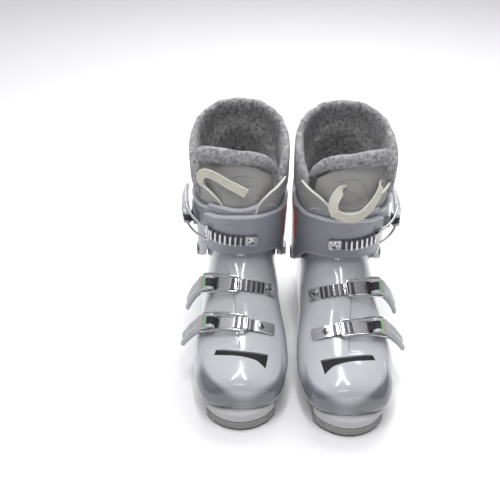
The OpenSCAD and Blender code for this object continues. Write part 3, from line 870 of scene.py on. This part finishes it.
def screwShape(seat):
    r, angle = seat[4], seat[7]
    dome = turned([(3.8, -0.6), (3.8, 0.5), (3.5, 0.9), (3.1, 1.0), (3.0, 1.3), (2.2, 1.75), (0.9, 1.95),
                   (0.2, 2.0)], 32)
    arms = []
    for a in (0, 90):
        t = Matrix.Rotation(math.radians(a + 20), 3, "Z")
        box = extrudeOutline([(-2.2, -0.5), (2.2, -0.5), (2.2, 0.5), (-2.2, 0.5)], 1.5, 2.06)
        arms.append(([t @ Vector(v) for v in box[0]], box[1]))
    # the cross slot is drawn as dark bars just proud of the dome: painted shade of a recess
    shape = joinShapes([painted(dome, 0), painted(arms[0], 1), painted(arms[1], 1)])
    m = Matrix.Rotation(math.radians(-angle), 4, "Z") @ Matrix.Translation((0, r + 3.4, 0)) @ upright
    return [m @ Vector(v) for v in shape[0]], shape[1], shape[2]


def hingePoint(seat, s):
    return polar(seat[8], seat[4] + s["hinge"])


def cylinderAlong(x, y, radius, half, sides=28):
    edge = 0.3
    profile = [(-half, radius - edge), (-half + edge, radius), (half - edge, radius), (half, radius - edge)]
    return ringSolid([[(px, py, z) for px, py in circle(r, sides, x, y)] for z, r in profile])


def baseShape(seat, s):
    r = seat[4]
    a = seat[8]
    rows = [(a + 8 - 32 * k / 12, r - seat[13], r + 1.8, s["leverWidth"] - 1) for k in range(12, -1, -1)]
    hx, hy = hingePoint(seat, s)
    high = r + s["hinge"]
    foot = [polar(a - 6, r + 1), polar(a - 4.5, high), polar(a + 4.5, high), polar(a + 6, r + 1)]
    barrel = joinShapes([extrudeOutline(foot, -4, 4), cylinderAlong(hx, hy, 3.8, 4)])
    return joinShapes([painted(band(rows), 0), painted(barrel, 1)])


def leverShape(seat, s):
    # a body with a flared middle and three ribs that run out to the free end
    hx, hy = hingePoint(seat, s)
    bend = seat[12]
    ux, uy = polar(seat[8], 1)
    centre = (hx - ux * bend, hy - uy * bend)
    sweepAngle = seat[11] / bend * 180 / math.pi
    rings = []
    count, across = 46, 40
    for i in range(count + 1):
        f = i / count
        lean = seat[14] * max(0, (f - 0.25) / 0.75) ** 1.3
        angle = seat[8] + 1.2 - (sweepAngle + 1.2) * f
        width = s["leverWidth"] * (1 + 0.14 * smooth(f / 0.3) - 0.06 * smooth((f - 0.7) / 0.3))
        thick = 7.6 * (1 - 0.34 * smooth((f - 0.35) / 0.6))
        inner = bend - 3.6 + 1.2 * smooth((f - 0.3) / 0.5)
        tip = smooth((1 - f) / 0.05)
        ring = []
        for j in range(across):
            a = 2 * math.pi * j / across
            z = signedPow(math.cos(a), 0.45) * width / 2 * (0.8 + 0.2 * tip)
            h = signedPow(math.sin(a), 0.45)
            rib = 0.0
            if h > 0 and f > 0.32:
                wave = 0.5 - 0.5 * math.cos(4 * math.pi * (z / width + 0.25))
                rib = -1.5 * smooth((f - 0.36) / 0.06) * wave ** 2 * h
            if h > 0 and f < 0.05:
                rib -= 1.2 * (1 - f / 0.05)
            rr = inner + thick / 2 + h * thick / 2 * (0.7 + 0.3 * tip) + rib
            x, y = polar(angle, rr)
            ring.append((centre[0] + x, centre[1] + y, z + lean))
        rings.append(ring)
    body = ringSolid(rings)
    cheeks = [extrudeOutline(circle(4.4, 28, hx, hy), z0, z1) for z0, z1 in ((-7.4, -4.3), (4.3, 7.4))]
    tool = extrudeOutline(circle(5.4, 28, hx, hy), -4.4, 4.4)
    body = cutShape(body, tool)
    return joinShapes([painted(body, 0)] + [painted(c, 0) for c in cheeks]), centre, sweepAngle


def dotRow(s, centre, angle, radius, number, size):
    # a row of raised dots across the lever
    shapes = []
    x, y = polar(angle, radius)
    turn = Matrix.Rotation(math.radians(-angle), 4, "Z") @ upright
    dot = turned([(size, -0.5), (size, 0.3), (size - 0.2, 0.42)], 14)
    for k in range(number):
        z = (k - (number - 1) / 2) * (s["leverWidth"] - 2.2) / number
        m = Matrix.Translation((centre[0] + x, centre[1] + y, z)) @ turn
        shapes.append(([m @ Vector(v) for v in dot[0]], dot[1]))
    return joinShapes(shapes)[:2]


def bailShape(seat, s):
    # wire from the lever's outer side, round the ladder's tooth and back
    r = seat[4]
    ax, ay = polar(seat[9], r + s["bail"])
    fx, fy = polar(seat[10], r + s["hook"])
    half = math.hypot(fx - ax, fy - ay) / 2
    bend = r + 6
    sx, sy = -(fy - ay) / (2 * half), (fx - ax) / (2 * half)
    down = math.sqrt(bend * bend - half * half)
    cx, cy = (ax + fx) / 2 - sx * down, (ay + fy) / 2 - sy * down
    start = math.atan2(ay - cy, ax - cx)
    turn = 2 * math.asin(half / bend)
    wide = s["leverWidth"] / 2 + s["wire"] + 1.0
    narrow = s["ladderWidth"] / 2 + s["wire"] + 0.7
    corner = s["wireCorner"]
    steps = 26
    arm = []
    for k in range(steps + 1):
        f = k / steps
        a = start - turn * f
        z = wide + (narrow - wide) * smooth(f * 1.1)
        edge = min(f, 1 - f) * turn * bend
        if edge < corner:
            z -= corner - math.sqrt(max(0, corner ** 2 - (corner - edge) ** 2))
        arm.append(Vector((cx + bend * math.cos(a), cy + bend * math.sin(a), z)))
    near = [Vector((p.x, p.y, -p.z)) for p in arm]
    stubs = [Vector((ax, ay, z)) for z in (-wide + 4.5, wide - 4.5)]
    path = stubs[:1] + near + [Vector((fx, fy, 0))] + arm[::-1] + stubs[1:]
    return sweep(path, circle(s["wire"], 12))


def buckles(s):
    for name, seat in seats.items():
        body = "leg" if name == "cuff" else "boot"
        lever = name + "_lever"
        onBothBoots(name + "Ladder", atSeat(seat, ladderShape(seat, s)), [chrome, toothGap], body, "steel",
                    (name + "_ladder",), sharp=25)
        onBothBoots(name + "LadderScrew", atSeat(seat, screwShape(seat)), [chrome, darkPartsAndSlotShade], body, "steel",
                    ("cuff_screw",) if name == "cuff" else ())
        onBothBoots(name + "BuckleBase", atSeat(seat, baseShape(seat, s)), [steel, darkPartsAndSlotShade], body, "steel",
                    (name + "_buckle_base",))
        shape, centre, sweepAngle = leverShape(seat, s)
        onBothBoots(name + "Lever", atSeat(seat, shape), [leverPlastic], lever, "lever", (lever,), sharp=45)
        face = seat[12] + 4.1
        dots = joinShapes([
            painted(dotRow(s, centre, seat[8] - sweepAngle * along, face - depth, number, size), colour)
            for along, depth, number, size, colour in s["dots"]])
        onBothBoots(name + "LeverDots", atSeat(seat, dots), [dotGreen, dotCrimson], lever, "lever")
        onBothBoots(name + "Bail", atSeat(seat, bailShape(seat, s)), [chrome], name + "_bail", "steel",
                    (name + "_bail",))


def keptParts():
    # pieces that stay as their solids only need a finish
    finishes = {"shell_screws": steel, "shell_hinge_pins": steel, "cuff_hinge_pin": steel,
                "pivot_bushes": steel, "boot_board": darkPartsAndSlotShade, "insole": darkPartsAndSlotShade, "toe_seal": sealBlack}
    for side in sideNames:
        for node, mat in finishes.items():
            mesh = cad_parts[side + "_" + node].data
            mesh.materials.clear()
            mesh.materials.append(mat)


buckles(buckleSet)
keptParts()
print("buckles made")


linerSet = {
    "collarTop": [(50, 208), (58, 214), (72, 224), (90, 234), (130, 251), (180, 260), (230, 251), (270, 234),
                  (288, 224), (302, 214), (310, 208)],
    "collarWall": 9.5, "flapPath": [(17, 166), (18.5, 180), (22, 190), (32, 198), (46, 202), (60, 206)],
    "tongueTop": 225,
    # the roll on the tongue from the outer to the inner side: x, y, z and radius
    "padRoll": [(-41, 12, 226, 5.5), (-36, 6, 231, 8.4), (-22, -1, 233, 8.6), (-4, -5, 232, 8.2),
                (12, -4, 230.5, 7.6), (24, 0, 226, 6.8), (33, 7, 216, 5.4), (38, 12, 205, 3.6)],
    # embossed curves on the tongue, as angle and height
    "tongueLines": [[(-14, 214), (-4, 216.5), (6, 215), (15, 209), (20, 200), (21, 190)],
                    [(-20, 205), (-8, 207), (4, 203), (12, 197)],
                    [(-22, 192), (-8, 190), (6, 186)]],
}


def catmullAt(x, table):
    # value on a smooth curve through table rows
    for i, ((x0, y0), (x1, y1)) in enumerate(zip(table, table[1:])):
        if x <= x1:
            return catmull(table, i + max(0, x - x0) / (x1 - x0))[1]
    return table[-1][1]


def collarFace(u, z):
    above = lineUp(u, cuffSet["top"])
    inside = flapInset(u) + cuffSet["wall"] + 0.4
    return inside - (inside + 1) * smooth((z - above - 1) / 18)


def collarShape(s):
    # padded wall with a rolled top edge and rounded front ends
    columns, rows = 120, 26
    rings = []
    for i in range(columns + 1):
        u = 50 + 260 * i / columns
        top = catmullAt(u, s["collarTop"])
        low = 140
        endRound = smooth(min(u - 50, 310 - u) / 7)
        wall = s["collarWall"] * (0.35 + 0.65 * endRound)
        ring = []
        for k in range(rows + 1):
            z = low + (top - low - wall / 2) * k / rows
            ring.append(legPoint(u, z, collarFace(u, z) + (1 - endRound) * 2))
        mid = collarFace(u, top) + wall / 2
        for k in range(1, 8):
            a = math.pi * k / 8
            ring.append(legPoint(u, top - wall / 2 + wall / 2 * math.sin(a), mid - wall / 2 * math.cos(a)))
        for k in range(rows, -1, -1):
            z = low + (top - low - wall / 2) * k / rows
            ring.append(legPoint(u, z, collarFace(u, z) + wall + 3 * smooth((200 - z) / 60)))
        rings.append(ring)
    return ringSolid(rings)


def pressPadding(shape, voxel, pressure, cap, shrink):
    # swell a padded shape with air pressure as cloth, then hand back its mesh
    obj = makeObject("padding", [Vector(v) * mm for v in shape[0]], shape[1], [])
    r = obj.modifiers.new("even", "REMESH")
    r.mode = "VOXEL"
    r.voxel_size = voxel * mm
    verts, faces = applyModifiers(obj)
    dropObject(obj)
    start = makeObject("padding", [v * mm for v in verts], faces, [])
    normals = [v.normal.copy() for v in start.data.vertices]
    for v, n in zip(start.data.vertices, normals):
        v.co -= n * shrink * mm
    held = [v.co.copy() for v in start.data.vertices]
    low = min(v.z for v in held)
    group = start.vertex_groups.new(name="held")
    group.add([i for i, v in enumerate(held) if v.z < low + 25 * mm], 1.0, "REPLACE")
    cloth = start.modifiers.new("cloth", "CLOTH")
    cloth.settings.quality = 6
    cloth.settings.mass = 0.3
    cloth.settings.use_pressure = True
    cloth.settings.uniform_pressure_force = pressure
    cloth.settings.tension_stiffness = 12
    cloth.settings.compression_stiffness = 12
    cloth.settings.shear_stiffness = 6
    cloth.settings.bending_stiffness = 1.5
    cloth.settings.effector_weights.gravity = 0
    cloth.settings.vertex_group_mass = "held"
    scene = bpy.context.scene
    for f in range(1, 21):
        scene.frame_set(f)
    moved, faces = applyModifiers(start)
    scene.frame_set(1)
    out = []
    for a, b in zip(held, moved):
        d = b * mm - a
        if d.length > cap * mm:
            d = d.normalized() * cap * mm
        out.append(a + d)
    dropObject(start)
    obj = makeObject("padding", out, faces, [])
    sub = obj.modifiers.new("soften", "SUBSURF")
    sub.levels = 1
    verts, faces = applyModifiers(obj)
    dropObject(obj)
    return verts, faces


def collars(s):
    shape = collarShape(s)
    shape = pressPadding(shape, 5.0, 4.0, 5.0, 0.8)
    for obj in onBothBoots("linerCollar", shape, [fleece], "leg", "fleece", ("liner_collar",), sharp=80):
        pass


collars(linerSet)
print("collars padded")


def tongueFace(z):
    return 7.3 + 10 * smooth((z - 190) / 50)


def tonguePoint(u, z, out=0.0):
    return legPoint(u, z, tongueFace(z) - out)


def tonguePuff(z):
    return 1.4 * math.sin(math.pi * min(1, max(0, (z - 170) / 55)))


def tonguePlate(s):
    rings = []
    for i in range(73):
        u = -60 + 120 * i / 72
        edge = 1 - abs(u) / 60
        top = s["tongueTop"] + 2 + 0.16 * u - 7 * (abs(u) / 40) ** 2
        thick = 2.2 + 3.0 * smooth(edge / 0.4)
        tuck = 13 * smooth((abs(u) - 47) / 13)
        ring = []
        for k in range(41):
            z = 158 + (top - 158) * k / 40
            ring.append(tonguePoint(u, z, tonguePuff(z) * smooth(edge / 0.5) - tuck))
        for k in range(40, -1, -1):
            z = 158 + (top - 158) * k / 40
            ring.append(tonguePoint(u, z, -thick - tuck))
        rings.append(ring)
    return ringSolid(rings)


def tongueLines(s):
    shapes = []
    for line in s["tongueLines"]:
        path = [tonguePoint(u, z, tonguePuff(z) + 0.05) for u, z in smoothPath(line, 40)]
        shapes.append(sweep(path, circle(0.55, 8)))
    return joinShapes(shapes)[:2]


def tonguePad(s):
    # fleece roll along the tongue's top edge
    count = 48
    run = smoothPath(s["padRoll"], count + 1)
    path, rings = [Vector(p[:3]) for p in run], []
    for i, p in enumerate(path):
        f = 2 * i / count - 1
        t = (path[min(i + 1, count)] - path[max(i - 1, 0)]).normalized()
        up = Vector((0, 0.25, 1))
        up = (up - t * up.dot(t)).normalized()
        side = t.cross(up)
        end = math.sqrt(max(0.02, 1 - abs(f) ** 10))
        fat = run[i][3] * end
        ring = []
        for k in range(24):
            a = 2 * math.pi * k / 24
            n = 0.5 * noise.noise(Vector((p.x * 0.09, math.cos(a) * 2, math.sin(a) * 2)))
            ring.append(p + up * (fat + n) * math.cos(a) + side * (fat * 0.72 + n) * math.sin(a))
        rings.append(ring)
    return ringSolid(rings)


def tongues(s):
    onBothBoots("tonguePlate", tonguePlate(s), [vinyl], "leg", "vinyl", ("liner_tongue",), sharp=70)
    onBothBoots("tongueLines", tongueLines(s), [vinyl], "leg", "vinyl")
    pad = tonguePad(s)
    pad = pressPadding(pad, 3.0, 3.0, 3.0, 0.3)
    for obj in onBothBoots("tonguePad", pad, [fleecePale], "leg", "fleece", sharp=80):
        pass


tongues(linerSet)
print("tongues padded")


def flapPoint(u, z, out=0.0):
    inside = flapInset(u) + cuffSet["wall"] + 0.5
    return legPoint(u, z, inside - 4.2 * smooth((z - 176) / 22) - out)


def vinylFlaps(s):
    shapes, edges = [], []
    for mirrorU in (1, -1):
        path = smoothPath(s["flapPath"], 40)
        sign = lambda u: u if mirrorU == 1 else 360 - u
        rings = []
        for i, (u, z) in enumerate(path):
            f = i / 39
            ub, zb = 40 + 52 * f, 158 + 14 * f
            run = [(sign(u + (ub - u) * k / 14), z + (zb - z) * k / 14) for k in range(15)]
            rings.append([flapPoint(*p) for p in run] + [flapPoint(*p, -2.0) for p in reversed(run)])
        shape = ringSolid(rings)
        if mirrorU == 1:
            shape = (shape[0], [tuple(reversed(f)) for f in shape[1]])
        shapes.append(shape)
        edge = [flapPoint(sign(u), z, 0.2) for u, z in path]
        edges.append(sweep(edge, circle(1.15, 10)))
    onBothBoots("ankleFlaps", joinShapes(shapes)[:2], [vinyl], "leg", "vinyl", sharp=60)
    onBothBoots("flapPiping", joinShapes(edges)[:2], [piping], "leg", "elastic")


vinylFlaps(linerSet)


def innerFoot():
    # the padded inner boot inside the shell
    last = len(shellSet["sections"]) - 1

    def wall(first, off):
        rows = [catmull(shellSet["sections"], first + (last - first) * i / 44) for i in range(45)]
        return [[sectionPoint(row, 2 * math.pi * k / 64, off) for k in range(64)] for row in rows]

    return ringSolid(wall(3, 4.6) + wall(4, 9.0)[::-1])


onBothBoots("innerFoot", innerFoot(), [fleece], "boot", "fleece", ("liner_foot",), sharp=80)


# one elastic strap lies across its tongue, the other hangs in a loop
strapSet = {
    "width": 9.5, "thick": 2.0,
    "right": [(-36, 3, 194), (-38.5, -1, 204), (-37, -4, 213), (-31, -8, 217.5), (-23, -12, 216),
              (-11, -16.5, 210.5), (0, -19.5, 205.5), (7, -20.5, 201.5)],
    "left": [(3.5, -3, 206), (6.5, -10, 206.5), (10, -17, 207.5), (15, -23, 204), (18, -26, 197),
             (16, -28, 189.5), (8, -30, 185.5), (-1, -30.5, 185), (-10, -28, 187.5), (-19, -22, 193.5),
             (-25, -15, 199), (-29, -8, 204), (-29, -2, 206), (-26, 0, 203), (-23, -3, 196)],
}


def strapSection(s):
    # four ribs on both faces
    w, t = s["width"] / 2, s["thick"] / 2
    top = [(-w + 2 * w * k / 32, t * (0.4 + 0.6 * abs(math.sin(math.pi * 4 * k / 32)))) for k in range(33)]
    return top + [(a, -b) for a, b in reversed(top)]


def elasticStraps(s):
    for side in sideNames:
        path = smoothPath(s[side], 90)
        axis = Vector((0, 38, 205))
        across = []
        for i, p in enumerate(path):
            out = (p - axis)
            out.z = 0
            out.normalize()
            t = (path[min(i + 1, len(path) - 1)] - path[max(i - 1, 0)]).normalized()
            c = t.cross(out)
            across.append(c if c.length > 0.2 else (across[-1] if across else Vector((0, 0, 1))))
        verts, faces = sweep(path, strapSection(s), across)
        onBoot(side, "elasticStrap", verts, faces, [elastic], "leg", "elastic", ("tongue_strap",), sharp=60)


elasticStraps(strapSet)
print("liners, tongues and straps made")


def makeStage():
    half, drop = 3, -0.0006
    corners = [(-half, -half, drop), (half, -half, drop), (half, half, drop), (-half, half, drop)]
    floor = makeObject("floor", corners, [(0, 1, 2, 3)], [])
    floor.data.materials.append(newMaterial("paleFloor", (0.93, 0.93, 0.935), 0.7)[0])
    world = bpy.data.worlds.new("softStudio")
    bpy.context.scene.world = world
    world.use_nodes = True
    tree = world.node_tree
    back = tree.nodes["Background"]
    # brightest above and behind the boots, dim in front of them
    coords = tree.nodes.new("ShaderNodeTexCoord")
    toLight = tree.nodes.new("ShaderNodeVectorMath")
    toLight.operation = "DOT_PRODUCT"
    toLight.inputs[1].default_value = (-0.1, 0.45, 0.85)
    ramp = tree.nodes.new("ShaderNodeValToRGB")
    tree.links.new(coords.outputs["Generated"], toLight.inputs[0])
    tree.links.new(toLight.outputs["Value"], ramp.inputs["Fac"])
    ramp.color_ramp.elements[0].position = 0.0
    ramp.color_ramp.elements[0].color = (0.05, 0.05, 0.06, 1)
    ramp.color_ramp.elements[1].position = 0.85
    ramp.color_ramp.elements[1].color = (1.0, 1.0, 1.03, 1)
    tree.links.new(ramp.outputs["Color"], back.inputs["Color"])
    back.inputs["Strength"].default_value = 0.75


def areaLight(name, place, target, size, power):
    data = bpy.data.lights.new(name, "AREA")
    data.shape = "RECTANGLE"
    data.size, data.size_y = size
    data.energy = power
    obj = bpy.data.objects.new(name, data)
    obj.location = place
    obj.rotation_euler = (Vector(target) - Vector(place)).to_track_quat("-Z", "Y").to_euler()
    bpy.context.scene.collection.objects.link(obj)


makeStage()
# place, point it faces, width and length, power
lightSet = {
    "windowLight": ((0.25, 0.9, 1.5), (0, 0, 0.1), (1.2, 0.8), 15),
    "ceilingStripA": ((-0.20, -0.25, 1.4), (-0.1, 0, 0.1), (0.07, 0.9), 5),
    "ceilingStripB": ((0.05, -0.25, 1.4), (0, 0, 0.1), (0.07, 0.9), 5),
    "frontStrip": ((-0.1, -1.6, 1.35), (-0.05, 0, 0.1), (0.5, 0.06), 1.2),
}
for name, values in lightSet.items():
    areaLight(name, *values)
bpy.context.scene.view_settings.view_transform = "Standard"
print("stage lit")
